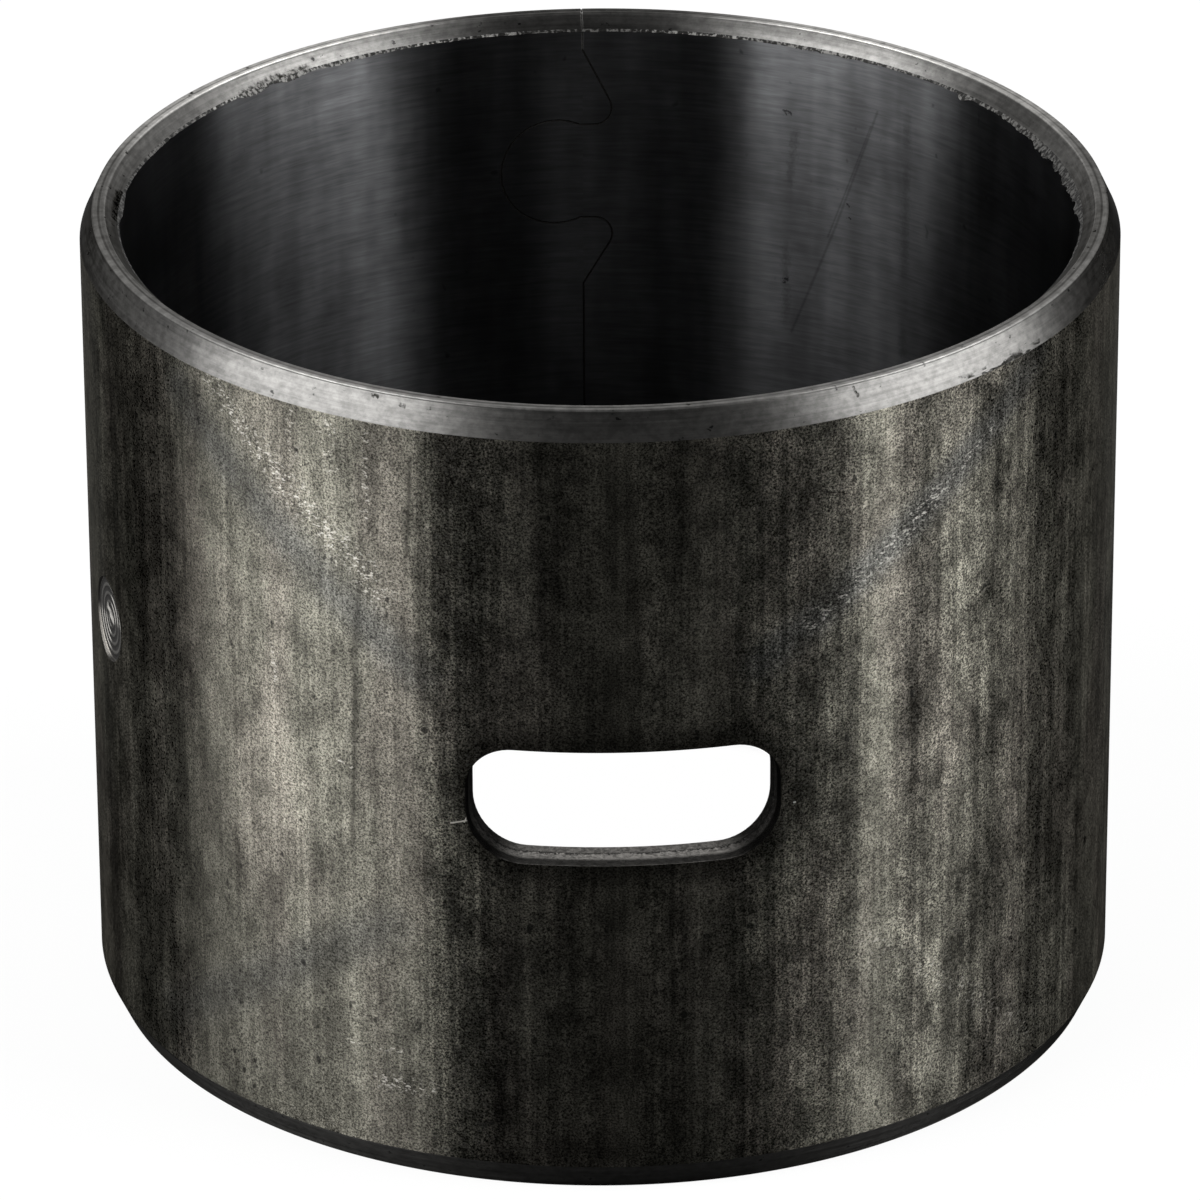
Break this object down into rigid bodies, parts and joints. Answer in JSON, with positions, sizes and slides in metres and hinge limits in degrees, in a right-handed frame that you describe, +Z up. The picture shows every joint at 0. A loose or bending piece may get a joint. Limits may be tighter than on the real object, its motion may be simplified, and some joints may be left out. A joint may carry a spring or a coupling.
{
  "type": "bushing",
  "caption": "Rolled steel bushing with a smooth bore, a clinched puzzle seam, chamfered ends and one oil slot through the wall.",
  "frame": {"origin": "centre of the lower end face's plane, on the bore axis, where the bushing stands", "axes": "+Z up along the bore axis; -Y towards the oil slot; +Y towards the clinched seam; +X to the right of the slot"},
  "size_m": [0.055, 0.055, 0.0446],
  "materials": {
    "rolled_steel": "dark rolled outside, bored inside, bright turned chamfers"
  },
  "bodies": {
    "root": {"bushing_shell": "rolled_steel"}
  },
  "joints": []
}
